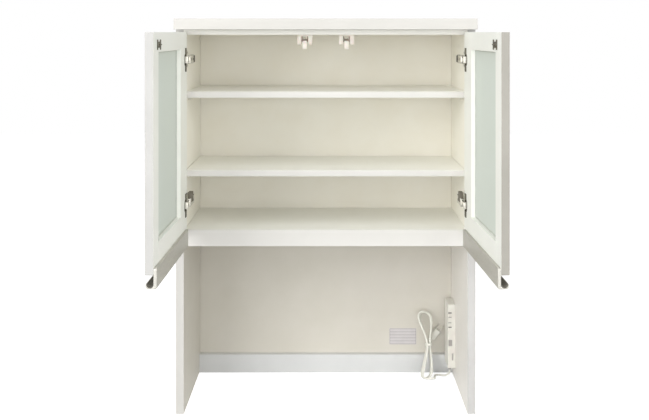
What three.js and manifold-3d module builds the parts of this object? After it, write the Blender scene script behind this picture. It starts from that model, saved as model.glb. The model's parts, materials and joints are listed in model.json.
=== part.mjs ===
// Upper unit of a step back cupboard: a white carcass with two framed glass doors,
// two movable shelves, an open bay below with a power outlet, and its cord tied in a hank.
// Millimetres, +Z up, +Y towards the wall. The origin is on the floor, in the middle of the rear rail.
import * as THREE from 'three';
import Module from 'manifold-3d';
import { mergeVertices } from 'three/addons/utils/BufferGeometryUtils.js';

// Driving dimensions
const width = 800;
const height = 1056;
const depth = 300;
const sideThickness = 21;
const boardThickness = 20;
const backThickness = 3;
const crownThickness = 29;
const crownReach = 36;
const topPanelThickness = 14;
const fit = 0.3;
const overrun = 1;

const cupboardHeight = 522.5;
const frontRailHeight = 44;
const frontRailSetback = 8;
const middleShelfShare = 0.2988;
const upperShelfShare = 0.7057;
const shelfThickness = 17;
const shelfSetback = 30;
const shelfSideClearance = 1;
const shelfBackClearance = 2;
const rearRailHeight = 54;
const rearRailThickness = 17;

const doorThickness = 19;
const doorGap = 3;
const doorMargin = 1.5;
const doorTopDrop = 7;
const doorBottomDrop = 5;
const hingeStileWidth = 88;
const freeStileWidth = 53;
const topRailHeight = 45;
const bottomRailHeight = 61.5;
const leftOpenAngle = 91.4;
const rightOpenAngle = 92.6;

const hingeFromBottom = 78.5;
const hingeFromTop = 73;
const pivotFromEdge = 11.1;
const latchFromCentre = 56;
const cordDiameter = 5.5;

// Values worked out from the driving dimensions
const sideHeight = height - crownThickness;
const innerHalf = width / 2 - sideThickness;
const backFace = depth - backThickness;
const railFace = backFace - rearRailThickness;
const topPanelUnderside = sideHeight - topPanelThickness;
const fixedTop = topPanelUnderside - cupboardHeight;
const fixedUnderside = fixedTop - boardThickness;
const middleShelfTop = fixedTop + middleShelfShare * cupboardHeight;
const upperShelfTop = fixedTop + upperShelfShare * cupboardHeight;
const frontRailBack = frontRailSetback + boardThickness;
const doorTop = sideHeight - doorTopDrop;
const doorBottom = fixedTop - doorBottomDrop;
const hingeHeights = [doorBottom + hingeFromBottom, doorTop - hingeFromTop];
const doorWidth = width / 2 - 2 * doorMargin;
const doorOuterFace = -(doorGap + doorThickness);
const pivotX = -(width / 2 - doorMargin - pivotFromEdge);
const pivotY = doorOuterFace;
const hingeEdge = -pivotFromEdge;
const freeEdge = doorWidth - pivotFromEdge;
const openingBottom = doorBottom + bottomRailHeight;
const openingTop = doorTop - topRailHeight;

const wasm = await Module();
wasm.setup();

function toSolid(geometry) {
  const bare = geometry.clone();
  bare.deleteAttribute('normal');
  bare.deleteAttribute('uv');
  const merged = mergeVertices(bare);
  const vertProperties = new Float32Array(merged.attributes.position.array);
  const triVerts = new Uint32Array(merged.index.array);
  return new wasm.Manifold(new wasm.Mesh({ numProp: 3, vertProperties, triVerts }));
}

function toGeometry(solid) {
  const mesh = solid.getMesh();
  const geometry = new THREE.BufferGeometry();
  geometry.setAttribute('position', new THREE.BufferAttribute(mesh.vertProperties, 3));
  geometry.setIndex(new THREE.BufferAttribute(mesh.triVerts, 1));
  return geometry;
}

function join(first, ...others) {
  return toGeometry(others.reduce((solid, next) => solid.add(toSolid(next)), toSolid(first)));
}

function cut(first, ...others) {
  return toGeometry(others.reduce((solid, next) => solid.subtract(toSolid(next)), toSolid(first)));
}

// A block from two corners on each axis, in either order
function block(xs, ys, zs) {
  const size = [xs, ys, zs].map(([a, b]) => Math.abs(b - a));
  const middle = [xs, ys, zs].map(([a, b]) => (a + b) / 2);
  return new THREE.BoxGeometry(...size).translate(...middle);
}

function span(middle, size) {
  return [middle - size / 2, middle + size / 2];
}

const roundSides = 24;

// A cylinder with its axis along x, y or z
function rod(axis, radius, length, place) {
  const geometry = new THREE.CylinderGeometry(radius, radius, length, roundSides);
  if (axis === 'x') geometry.rotateZ(Math.PI / 2);
  if (axis === 'z') geometry.rotateX(Math.PI / 2);
  return geometry.translate(...place);
}

// An outline in the x-y plane raised along z
function raised(shape, zs) {
  const settings = { depth: zs[1] - zs[0], bevelEnabled: false, curveSegments: 6 };
  return new THREE.ExtrudeGeometry(shape, settings).translate(0, 0, zs[0]);
}

// An outline drawn as (y, z), run along x between two places
function runAlongX(shape, xs) {
  const low = Math.min(...xs);
  const length = Math.abs(xs[1] - xs[0]);
  const geometry = new THREE.ExtrudeGeometry(shape, { depth: length, bevelEnabled: false, curveSegments: 8 });
  const turn = new THREE.Matrix4().makeBasis(
    new THREE.Vector3(0, 1, 0), new THREE.Vector3(0, 0, 1), new THREE.Vector3(1, 0, 0));
  return geometry.applyMatrix4(turn).translate(low, 0, 0);
}

function finish(color, roughness, metalness) {
  return new THREE.MeshStandardMaterial({ color, roughness, metalness });
}

const whiteFoil = finish('#f1efe9', 0.45, 0);
const ivoryFoil = finish('#e6e1d5', 0.55, 0);
const coolWhite = finish('#dededc', 0.5, 0);
const frostedGlass = finish('#c8d0c5', 0.6, 0);
const gasketVinyl = finish('#8f928c', 0.6, 0);
const brushedAluminium = finish('#a9a69c', 0.35, 0.9);
const nickel = finish('#b9b6ac', 0.3, 0.95);
const darkSteel = finish('#5c584e', 0.4, 0.9);
const latchPlastic = finish('#e4d0c6', 0.4, 0);
const outletPlastic = finish('#e4e0cf', 0.45, 0);
const cordVinyl = finish('#d9d8cb', 0.5, 0);

function piece(parent, name, geometry, material) {
  const mesh = new THREE.Mesh(geometry, material);
  mesh.name = name;
  parent.add(mesh);
  return mesh;
}

// Carcass

const pinShankRadius = 2.5;
const pinShankLength = 8;
const pinNoseRadius = 3.5;
const pinNoseLength = 9.5;
const pinClearance = 0.3;
const pinFromShelfEdge = 37;
const shelfFront = shelfSetback;
const shelfBack = backFace - shelfBackClearance;

function pinPlaces() {
  const places = [];
  const rows = [['front', shelfFront + pinFromShelfEdge], ['rear', shelfBack - pinFromShelfEdge]];
  for (const [shelf, top] of [['middle', middleShelfTop], ['upper', upperShelfTop]]) {
    for (const [row, y] of rows) {
      places.push({ name: `${shelf}_shelf_pin_${row}`, y, z: top - shelfThickness - fit - pinNoseRadius });
    }
  }
  return places;
}

function addSide(parent, name, side) {
  const panel = block([side * (innerHalf), side * width / 2], [0, depth], [0, sideHeight - fit]);
  const boreLength = pinShankLength + pinClearance + overrun;
  const boreMiddle = side * (innerHalf + boreLength / 2 - overrun);
  const bores = pinPlaces().map(({ y, z }) =>
    rod('x', pinShankRadius + pinClearance, boreLength, [boreMiddle, y, z]));
  piece(parent, name, cut(panel, ...bores), whiteFoil);
}

function addPins(parent, sideName, side) {
  const shankEnd = innerHalf + pinShankLength;
  const noseStart = innerHalf - fit;
  const noseEnd = noseStart - pinNoseLength;
  for (const { name, y, z } of pinPlaces()) {
    const outline = [
      [0, shankEnd], [pinShankRadius, shankEnd], [pinShankRadius, noseStart],
      [pinNoseRadius, noseStart], [pinNoseRadius, noseEnd], [0, noseEnd],
    ].map(([radius, along]) => new THREE.Vector2(radius, along));
    const pin = new THREE.LatheGeometry(outline.reverse(), roundSides / 2);
    pin.rotateZ(side * -Math.PI / 2).translate(0, y, z);
    piece(parent, `${name}_${sideName}`, pin, nickel);
  }
}

function addCarcass(parent) {
  addSide(parent, 'side_panel_left', -1);
  addSide(parent, 'side_panel_right', 1);
  const clearHalf = innerHalf - fit;
  const across = [-clearHalf, clearHalf];
  const behind = backFace - fit;
  const crown = block([-width / 2, width / 2], [-crownReach, depth], [sideHeight, height]);
  piece(parent, 'top_board', crown, whiteFoil);
  const topPanel = block(across, [0, behind], [topPanelUnderside, sideHeight - fit]);
  piece(parent, 'carcass_top', topPanel, whiteFoil);
  const seam = fixedTop - boardThickness / 2;
  const upperBack = block(across, [backFace, depth], [seam + fit, sideHeight - fit]);
  piece(parent, 'back_panel_upper', upperBack, ivoryFoil);
  piece(parent, 'back_panel_lower', block(across, [backFace, depth], [0, seam]), ivoryFoil);
  const board = block(across, [frontRailBack + fit, behind], [fixedUnderside, fixedTop]);
  piece(parent, 'fixed_board', board, ivoryFoil);
  const rail = block(across, [frontRailSetback, frontRailBack], [fixedTop - frontRailHeight, fixedTop]);
  piece(parent, 'front_rail', rail, whiteFoil);
  piece(parent, 'rear_rail', block(across, [railFace, behind], [0, rearRailHeight]), coolWhite);
  const shelfHalf = innerHalf - shelfSideClearance;
  for (const [name, top] of [['shelf_middle', middleShelfTop], ['shelf_upper', upperShelfTop]]) {
    const shelf = block([-shelfHalf, shelfHalf], [shelfFront, shelfBack], [top - shelfThickness, top]);
    piece(parent, name, shelf, whiteFoil);
  }
  addPins(parent, 'left', -1);
  addPins(parent, 'right', 1);
}

// Doors. Each is drawn closed, from its hinge axis: u runs towards the free edge, v towards the wall.

const lipThickness = 2.5;
const lipWidth = 6;
const glassThickness = 4;
const gasketWidth = 2.4;
const gasketThickness = 2.2;
const edgeRadius = 4;
const cupRadius = 17.2;
const cupHollowRadius = 15.5;
const cupDepth = 11.7;
const cupFloor = 1;
const cupRimProud = 0.5;
const cupFromEdge = 21.5;
const outerV = 0;
const innerV = doorThickness;
const lipV = outerV + lipThickness;
const glassV = lipV + fit;
const gasketV = glassV + glassThickness + fit;

function cupPlaces() {
  return hingeHeights.map((z) => [hingeEdge + cupFromEdge, z]);
}

function hingeStile(side) {
  const outline = new THREE.Shape();
  const near = hingeEdge;
  const far = hingeEdge + hingeStileWidth;
  outline.moveTo(near, outerV);
  outline.lineTo(far, outerV);
  outline.lineTo(far, innerV);
  outline.lineTo(near + edgeRadius, innerV);
  outline.absarc(near + edgeRadius, innerV - edgeRadius, edgeRadius, Math.PI / 2, Math.PI, false);
  outline.lineTo(near, outerV);
  const post = raised(outline, [doorBottom, doorTop]);
  if (side < 0) {
    post.applyMatrix4(new THREE.Matrix4().makeScale(-1, 1, 1));
    flipFaces(post);
  }
  const lip = block([side * (far - overrun), side * (far + lipWidth)], [outerV, lipV],
    [openingBottom + lipWidth + fit, openingTop - lipWidth - fit]);
  const bores = cupPlaces().map(([u, z]) => {
    const length = cupDepth + fit + overrun;
    return rod('y', cupRadius + fit, length, [side * u, innerV - length / 2 + overrun, z]);
  });
  return cut(join(post, lip), ...bores);
}

function flipFaces(geometry) {
  const positions = geometry.attributes.position;
  const a = new THREE.Vector3();
  const b = new THREE.Vector3();
  for (let corner = 0; corner < positions.count; corner += 3) {
    a.fromBufferAttribute(positions, corner + 1);
    b.fromBufferAttribute(positions, corner + 2);
    positions.setXYZ(corner + 1, b.x, b.y, b.z);
    positions.setXYZ(corner + 2, a.x, a.y, a.z);
  }
}

function freeStile(side) {
  const near = freeEdge - freeStileWidth;
  const post = block([side * near, side * freeEdge], [outerV, innerV], [doorBottom, doorTop]);
  const lip = block([side * (near - lipWidth), side * (near + overrun)], [outerV, lipV],
    [openingBottom + lipWidth + fit, openingTop - lipWidth - fit]);
  return join(post, lip);
}

function doorRail(side, zs, lipZs) {
  const near = side * (hingeEdge + hingeStileWidth + fit);
  const far = side * (freeEdge - freeStileWidth - fit);
  return join(block([near, far], [outerV, innerV], zs), block([near, far], [outerV, lipV], lipZs));
}

// The pull is a J along the door's bottom. Its wall stands on the inner face, and an upturned lip
// in front leaves room for fingers. It starts clear of the side panel's front edge.
const pullRise = 15.5;
const pullDrop = 30.5;
const pullLipDrop = 19.5;
const pullWall = 7;
const pullLipThickness = 2;
const pullReach = 24.8;
const pullRadius = 7;
const pullBackRadius = 3.5;
const pullEndSetback = 0.5;
const pullSideClearance = 1.6;
const pullCornerRadius = 5;

function pullProfile() {
  const wallFront = innerV + fit;
  const wallBack = wallFront + pullWall;
  const lipFront = wallBack - pullReach;
  const lipBack = lipFront + pullLipThickness;
  const top = doorBottom + pullRise;
  const bottom = doorBottom - pullDrop;
  const hollowRadius = (wallFront - lipBack) / 2;
  const hollowCentre = bottom + pullLipThickness + hollowRadius;
  const shape = new THREE.Shape();
  shape.moveTo(wallBack, top);
  shape.lineTo(wallFront, top);
  shape.lineTo(wallFront, hollowCentre);
  shape.absarc(lipBack + hollowRadius, hollowCentre, hollowRadius, 0, Math.PI, true);
  shape.lineTo(lipBack, doorBottom - pullLipDrop);
  shape.lineTo(lipFront, doorBottom - pullLipDrop);
  shape.lineTo(lipFront, bottom + pullRadius);
  shape.absarc(lipFront + pullRadius, bottom + pullRadius, pullRadius, Math.PI, 1.5 * Math.PI, false);
  shape.lineTo(wallBack - pullBackRadius, bottom);
  const backCentre = [wallBack - pullBackRadius, bottom + pullBackRadius];
  shape.absarc(...backCentre, pullBackRadius, 1.5 * Math.PI, 2 * Math.PI, false);
  shape.lineTo(wallBack, top);
  return shape;
}

// Its far top corner is rounded
function pullGeometry(side) {
  const near = -pivotX - innerHalf + pullSideClearance;
  const far = freeEdge - pullEndSetback;
  const top = doorBottom + pullRise;
  const vs = [innerV - overrun, innerV + fit + pullWall + overrun];
  const centre = [side * (far - pullCornerRadius), (vs[0] + vs[1]) / 2, top - pullCornerRadius];
  const us = [side * (far - pullCornerRadius), side * (far + overrun)];
  const square = block(us, vs, [top - pullCornerRadius, top + overrun]);
  const round = rod('y', pullCornerRadius, vs[1] - vs[0] + 2 * overrun, centre);
  return cut(runAlongX(pullProfile(), [side * near, side * far]), cut(square, round));
}

// The strike that the earthquake latch catches
const strikeWidth = 38;
const strikeHeight = 23;
const strikePlate = 1.2;
const strikeFromTop = 28.5;
const strikeZ = doorTop - strikeFromTop;
const strikeArm = 9;
const strikeSlot = 9;
const strikeTongueReach = 4;
const strikeTongueHeight = 2;

function strikeGeometry(side) {
  const middle = -latchFromCentre - pivotX;
  const back = innerV + fit;
  const face = back + strikePlate;
  const plate = block(span(side * middle, strikeWidth), [back, face], span(strikeZ, strikeHeight));
  const notchWidth = strikeWidth - 2 * strikeArm;
  const notches = [strikeZ + strikeHeight / 2, strikeZ - strikeHeight / 2].map((z) =>
    block(span(side * middle, notchWidth), [back - overrun, face + overrun], span(z, strikeSlot)));
  const tongue = block(span(side * middle, notchWidth), [back, face + strikeTongueReach],
    span(strikeZ, strikeTongueHeight));
  return join(cut(plate, ...notches), tongue);
}

const earHeight = 62;
const earWidth = 16;
const earThickness = 1.3;

function cupGeometry(side, u, z) {
  const floorV = innerV - cupDepth;
  const face = innerV + fit + earThickness;
  const rim = innerV + cupRimProud;
  const barrel = rod('y', cupRadius, rim - floorV, [side * u, (rim + floorV) / 2, z]);
  const ears = block(span(side * u, earWidth), [innerV + fit, face], span(z, earHeight));
  const hollowLength = face - floorV - cupFloor + overrun;
  const hollow = rod('y', cupHollowRadius, hollowLength, [side * u, face + overrun - hollowLength / 2, z]);
  return toGeometry(toSolid(barrel).add(toSolid(ears)).subtract(toSolid(hollow)));
}

function ringGeometry(us, zs, vs, wall) {
  const outer = block(us, vs, zs);
  const inner = block([Math.min(...us) + wall, Math.max(...us) - wall], [vs[0] - overrun, vs[1] + overrun],
    [zs[0] + wall, zs[1] - wall]);
  return cut(outer, inner);
}

function addDoor(parent, name, side, openAngle) {
  const door = new THREE.Group();
  door.position.set(side * pivotX, pivotY, 0);
  door.rotation.z = -side * THREE.MathUtils.degToRad(openAngle);
  parent.add(door);
  const title = (part) => `${name}_door_${part}`;
  piece(door, title('hinge_stile'), hingeStile(side), whiteFoil);
  piece(door, title('free_stile'), freeStile(side), whiteFoil);
  const topLip = [openingTop - lipWidth, openingTop + overrun];
  piece(door, title('top_rail'), doorRail(side, [openingTop, doorTop], topLip), whiteFoil);
  const bottomLip = [openingBottom - overrun, openingBottom + lipWidth];
  piece(door, title('bottom_rail'), doorRail(side, [doorBottom, openingBottom], bottomLip), whiteFoil);
  const us = [hingeEdge + hingeStileWidth + fit, freeEdge - freeStileWidth - fit].map((u) => side * u);
  const zs = [openingBottom + fit, openingTop - fit];
  piece(door, title('glass'), block(us, [glassV, glassV + glassThickness], zs), frostedGlass);
  const gasket = ringGeometry(us, zs, [gasketV, gasketV + gasketThickness], gasketWidth);
  piece(door, title('gasket'), gasket, gasketVinyl);
  piece(door, title('pull'), pullGeometry(side), brushedAluminium);
  piece(door, title('strike'), strikeGeometry(side), darkSteel);
  cupPlaces().forEach(([u, z], index) => {
    const level = ['lower', 'upper'][index];
    piece(door, `${name}_${level}_hinge_cup`, cupGeometry(side, u, z), darkSteel);
  });
}

// Hinge arms and plates stay on the carcass, and the lower arms carry a damper

const plateThickness = 9;
const plateHeight = 20;
const plateFront = 22;
const plateBack = 58;
const plateWingHeight = 50;
const plateWingThickness = 2;
const plateWingFront = 30;
const plateWingBack = 46;
const armFront = 2;
const armBack = 68;
const armHeight = 22;
const armReach = 8;
const noseFront = -13.2;
const noseInset = 3.4;
const noseGap = 1.3;
const noseHeight = 12;
const damperHeight = 15;
const damperFront = 8;
const damperBack = 34;
const damperReach = 10.8;

function addHinge(parent, name, side, z, damped) {
  const wall = side * (innerHalf - fit);
  const plateFace = side * (innerHalf - fit - plateThickness);
  const base = block([wall, plateFace], [plateFront, plateBack], span(z, plateHeight));
  const wings = block([wall, side * (innerHalf - fit - plateWingThickness)], [plateWingFront, plateWingBack],
    span(z, plateWingHeight));
  piece(parent, `${name}_hinge_plate`, join(base, wings), nickel);
  const armFace = side * (innerHalf - plateThickness - 2 * fit);
  const armOuter = side * (innerHalf - plateThickness - 2 * fit - armReach);
  const channel = block([armFace, armOuter], [armFront, armBack], span(z, armHeight));
  const noseFar = innerHalf - plateThickness - 2 * fit - noseGap - noseInset;
  const nose = block([side * noseFar, side * (noseFar + noseInset)], [noseFront, armFront + overrun],
    span(z, noseHeight));
  const damper = block([armFace, armFace - side * damperReach], [damperFront, damperBack],
    [z, z + armHeight / 2 + damperHeight]);
  piece(parent, `${name}_hinge_arm`, damped ? join(channel, nose, damper) : join(channel, nose), nickel);
}

// Earthquake latches under the carcass top

const latchWidth = 40;
const latchDepth = 40;
const latchFront = 12;
const latchBase = 4;
const latchDrop = 26;
const latchCheek = 11;
const latchPinRadius = 2;
const latchPinFromBack = 9;
const latchPinDrop = 16;
const leverThickness = 6;
const leverFront = 8;
const leverHookDrop = 22;
const leverHookThickness = 5;
const leverSide = 3;
const leverBarrelRadius = 5;

function addLatch(parent, name, side) {
  const x = side * latchFromCentre;
  const top = topPanelUnderside - fit;
  const back = latchFront + latchDepth;
  const base = block(span(x, latchWidth), [latchFront, back], [top - latchBase, top]);
  const cheeks = [-1, 1].map((end) => {
    const outside = x + end * latchWidth / 2;
    const heights = [top - latchDrop, top - latchBase + overrun];
    return block([outside, outside - end * latchCheek], [latchFront, back], heights);
  });
  const pinY = back - latchPinFromBack;
  const pinZ = top - latchPinDrop;
  const pin = rod('x', latchPinRadius, latchWidth - latchCheek, [x, pinY, pinZ]);
  piece(parent, `${name}_latch_body`, join(base, ...cheeks, pin), latchPlastic);
  const leverWidth = latchWidth - 2 * latchCheek - 2 * leverSide;
  const barrel = rod('x', leverBarrelRadius, leverWidth, [x, pinY, pinZ]);
  const arm = block(span(x, leverWidth), [leverFront, pinY], span(pinZ - leverThickness / 2, leverThickness));
  const hook = block(span(x, leverWidth), [leverFront, leverFront + leverHookThickness],
    [pinZ - leverHookDrop, pinZ - leverThickness / 2]);
  const bore = rod('x', latchPinRadius + fit, leverWidth + 2 * overrun, [x, pinY, pinZ]);
  const lever = toSolid(barrel).add(toSolid(arm)).add(toSolid(hook)).subtract(toSolid(bore));
  piece(parent, `${name}_latch_hook`, toGeometry(lever), latchPlastic);
}

// Outlet strip in the rear right corner

const outletWidth = 22;
const outletReach = 65;
const outletBottom = 39;
const outletTop = 224;
const outletCoverThickness = 4;
const outletCentres = [193.3, 164.3];
const slotSpacing = 12.7;
const slotLength = 10;
const slotHeight = 2;
const slotFromEdge = 1.3;
const switchZ = 112.5;
const switchWidth = 12;
const switchHeight = 19;
const switchProud = 1;
const jackZ = 71;
const jackFromEdge = 11.5;
const jackWidth = 5;
const jackHeight = 21;
const jackDepth = 2;

function addOutlet(parent) {
  const outer = innerHalf - fit;
  const xs = [outer - outletWidth, outer];
  const front = railFace - outletReach;
  const seam = front + outletCoverThickness;
  const zs = [outletBottom, outletTop];
  piece(parent, 'outlet_body', block(xs, [seam + fit, railFace - fit], zs), outletPlastic);
  const slotStart = xs[0] + slotFromEdge;
  const jackStart = xs[0] + jackFromEdge;
  const slotXs = [slotStart, slotStart + slotLength];
  const through = [front - overrun, seam + overrun];
  const slots = outletCentres.flatMap((z) => [-1, 1].map((end) =>
    block(slotXs, through, span(z + end * slotSpacing / 2, slotHeight))));
  const jackXs = [jackStart, jackStart + jackWidth];
  const jack = block(jackXs, [front - overrun, front + jackDepth], span(jackZ, jackHeight));
  const rockerXs = [slotStart, slotStart + switchWidth];
  const rocker = block(rockerXs, [front - switchProud, seam], span(switchZ, switchHeight));
  const cover = cut(join(block(xs, [front, seam], zs), rocker), ...slots, jack);
  piece(parent, 'outlet_cover', cover, outletPlastic);
}

// Cord: strain relief, lead on the floor, hank leaning on the wall, tie, tail and plug

const cordRadius = cordDiameter / 2;
const floorLift = 0.3;
const glandLength = 14;
const glandTopRadius = 6;
const glandEndRadius = 3.8;
const glandFromSide = 13;
const glandFromRail = 37;
const glandX = innerHalf - glandFromSide;
const glandY = railFace - glandFromRail;
const leadSides = 8;
const leadStepsPerPoint = 3;
const hankTurns = 4;
const hankEndTurns = 4.25;
const hankStepsPerTurn = 24;
const hankSides = 6;
const hankFromSide = 86;
const hankFootFromRail = 72.5;
const hankLength = 186;
const hankLean = 18.8;
const hankTopRadius = 17.5;
const hankFootRadius = 13;
const hankWaistHalf = 3.4;
const hankPitch = 6.2;
const hankFanTop = 4;
const hankFanFoot = 1.5;
const hankBow = 11;
const hankWaist = hankLength / 2;
const tieHeight = 7;
const tieWall = 1.2;
const tieClearance = 1;
const tieCorner = 4;
const plugWidth = 24;
const plugThickness = 19;
const plugLength = 32;
const plugCorner = 5;
const plugFromSide = 51;
const plugZ = 113;
const plugTurn = 33;
const bladeSpacing = 12.7;
const bladeWidth = 6.3;
const bladeThickness = 1.5;
const bladeLength = 17;

const hankFrame = new THREE.Group();
hankFrame.rotation.x = -THREE.MathUtils.degToRad(hankLean);
hankFrame.position.set(innerHalf - hankFromSide, railFace - hankFootFromRail,
  cordRadius + floorLift + hankTurns * hankPitch * Math.sin(-hankFrame.rotation.x));
hankFrame.updateMatrix();

function easeShare(share) {
  return share * share * (3 - 2 * share);
}

// A place in the hank after so many turns, which are cut into eighths: each turn climbs one pitch
// towards the wall, runs up one side and down the other, and both runs are drawn in at the waist
function hankPoint(turns) {
  const eighths = 8;
  const phase = (turns % 1) * eighths;
  const mirrored = phase > eighths / 2;
  const half = mirrored ? eighths - phase : phase;
  const share = half - eighths / 4;
  const top = share > 0;
  const radius = top ? hankTopRadius : hankFootRadius;
  const end = top ? hankLength : 0;
  const inward = top ? -1 : 1;
  const rest = 1 - Math.max(Math.abs(share) - 1, 0);
  const foldCentre = end + inward * radius;
  let across = radius * Math.sin(rest * Math.PI / 2);
  let along = foldCentre - inward * radius * Math.cos(rest * Math.PI / 2);
  if (Math.abs(share) < 1) {
    along = hankWaist + Math.abs(share) * (foldCentre - hankWaist);
    across = hankWaistHalf + (radius - hankWaistHalf) * easeShare(Math.abs(share));
  }
  const reachShare = (along - hankWaist) / (end - hankWaist);
  const spread = 2 * turns / hankEndTurns - 1;
  const fan = (top ? hankFanTop : -hankFanFoot) * spread * reachShare;
  const bow = hankBow * (1 - reachShare ** 2);
  return new THREE.Vector3((mirrored ? across : -across) + fan + bow, turns * hankPitch, along);
}

function hankTurnPoints() {
  const steps = Math.round(hankEndTurns * hankStepsPerTurn);
  return Array.from({ length: steps + 1 }, (_, step) => hankPoint(step / hankStepsPerTurn));
}

// The hank's ends run straight for one diameter, to meet the lead and the tail
function hankStart() {
  return hankPoint(0).add(new THREE.Vector3(cordDiameter, 0, 0));
}

function hankEnd() {
  return hankPoint(hankEndTurns).add(new THREE.Vector3(0, 0, cordDiameter));
}

function hankPoints() {
  return [hankStart(), ...hankTurnPoints(), hankEnd()];
}

// A closed tube with one ring at each point
function ringTube(points, radius, sides) {
  const places = [];
  const faces = [];
  let normal = new THREE.Vector3(0, 1, 0);
  points.forEach((point, index) => {
    const before = points[Math.max(index - 1, 0)];
    const after = points[Math.min(index + 1, points.length - 1)];
    const tangent = after.clone().sub(before).normalize();
    normal = normal.clone().addScaledVector(tangent, -normal.dot(tangent)).normalize();
    const across = tangent.clone().cross(normal);
    for (let corner = 0; corner < sides; corner += 1) {
      const turn = corner / sides * 2 * Math.PI;
      const place = point.clone().addScaledVector(normal, radius * Math.cos(turn));
      places.push(...place.addScaledVector(across, radius * Math.sin(turn)).toArray());
    }
  });
  const last = (points.length - 1) * sides;
  for (let ring = 0; ring < last; ring += sides) {
    for (let corner = 0; corner < sides; corner += 1) {
      const next = (corner + 1) % sides;
      faces.push(ring + corner, ring + next, ring + sides + next);
      faces.push(ring + corner, ring + sides + next, ring + sides + corner);
    }
  }
  for (let corner = 1; corner < sides - 1; corner += 1) {
    faces.push(0, corner + 1, corner);
    faces.push(last, last + corner, last + corner + 1);
  }
  const geometry = new THREE.BufferGeometry();
  geometry.setAttribute('position', new THREE.Float32BufferAttribute(places, 3));
  geometry.setIndex(faces);
  return geometry;
}

// The least distance between runs of the hank that are more than a fold apart
function leastHankGap() {
  const points = hankTurnPoints();
  const apart = hankStepsPerTurn / 4;
  let least = Infinity;
  points.forEach((point, index) => {
    for (let other = index + apart; other < points.length - 1; other += 1) {
      const run = new THREE.Line3(points[other], points[other + 1]);
      least = Math.min(least, run.closestPointToPoint(point, true, new THREE.Vector3()).distanceTo(point));
    }
  });
  return least - cordDiameter;
}

function plainTube(points) {
  const curve = new THREE.CatmullRomCurve3(points, false, 'centripetal');
  const outline = new THREE.Shape();
  for (let corner = 0; corner < leadSides; corner += 1) {
    const turn = corner / leadSides * 2 * Math.PI;
    const place = [cordRadius * Math.cos(turn), cordRadius * Math.sin(turn)];
    if (corner === 0) outline.moveTo(...place);
    else outline.lineTo(...place);
  }
  outline.closePath();
  const steps = (points.length - 1) * leadStepsPerPoint;
  return new THREE.ExtrudeGeometry(outline, { steps, extrudePath: curve });
}

function hankToCabinet(point) {
  return point.clone().applyMatrix4(hankFrame.matrix);
}

// A place in the rear right corner, from the side panel, the rear rail's face and the floor
function inCorner(fromSide, fromRail, z) {
  return new THREE.Vector3(innerHalf - fromSide, railFace - fromRail, z);
}

// Where the lead goes on the floor, chosen by hand
function leadPoints() {
  const onFloor = cordRadius + floorLift;
  const top = outletBottom - glandLength - 2 * floorLift;
  const end = hankToCabinet(hankStart()).add(new THREE.Vector3(floorLift, 0, 0));
  return [
    new THREE.Vector3(glandX, glandY, top),
    new THREE.Vector3(glandX, glandY, top - cordDiameter),
    inCorner(15.5, 36.4, 12.4),
    inCorner(22, 34, 6.6),
    inCorner(32, 29.5, 3.5),
    inCorner(41, 25.5, onFloor),
    inCorner(49, 24.5, onFloor),
    inCorner(55.5, 29, onFloor + floorLift),
    inCorner(58, 38, 4.2),
    inCorner(58.5, 48, 6),
    inCorner(59, 58, 8),
    inCorner(62, 66.5, 9.6),
    end.clone().add(new THREE.Vector3(cordDiameter, 0, 0)),
    end,
  ];
}

function tailPoints() {
  const start = hankEnd();
  start.z += floorLift;
  const next = start.clone();
  next.z += cordDiameter;
  const turn = THREE.MathUtils.degToRad(plugTurn);
  const lean = new THREE.Vector3(Math.sin(turn), 0, Math.cos(turn));
  const end = plugPlace().addScaledVector(lean, -plugLength / 2 - floorLift);
  return [
    hankToCabinet(start),
    hankToCabinet(next),
    inCorner(76.7, 8.5, 103),
    inCorner(73.5, 2, 101.5),
    inCorner(70.5, -3, 97.5),
    inCorner(67.2, -6.2, 94),
    end.clone().addScaledVector(lean, -cordDiameter),
    end,
  ];
}

function plugPlace() {
  return new THREE.Vector3(innerHalf - plugFromSide, backFace - fit - plugThickness / 2, plugZ);
}

function roundedRectangle(widthX, widthY, corner) {
  const x = widthX / 2;
  const y = widthY / 2;
  const shape = new THREE.Shape();
  shape.absarc(x - corner, y - corner, corner, 0, Math.PI / 2, false);
  shape.absarc(corner - x, y - corner, corner, Math.PI / 2, Math.PI, false);
  shape.absarc(corner - x, corner - y, corner, Math.PI, 1.5 * Math.PI, false);
  shape.absarc(x - corner, corner - y, corner, 1.5 * Math.PI, 2 * Math.PI, false);
  shape.closePath();
  return shape;
}

function plugGeometry() {
  const body = raised(roundedRectangle(plugWidth, plugThickness, plugCorner), span(0, plugLength));
  const bladeEnd = plugLength / 2 + bladeLength;
  const blades = [-1, 1].map((end) =>
    block(span(end * bladeSpacing / 2, bladeThickness), span(0, bladeWidth), [0, bladeEnd]));
  return join(body, ...blades);
}

function tieGeometry() {
  const inside = [2 * (hankWaistHalf + cordRadius + tieClearance),
    hankEndTurns * hankPitch + 2 * (cordRadius + tieClearance)];
  const shape = roundedRectangle(inside[0] + 2 * tieWall, inside[1] + 2 * tieWall, tieCorner + tieWall);
  shape.holes.push(roundedRectangle(...inside, tieCorner));
  return raised(shape, span(hankWaist, tieHeight)).translate(hankBow, hankEndTurns * hankPitch / 2, 0);
}

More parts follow.
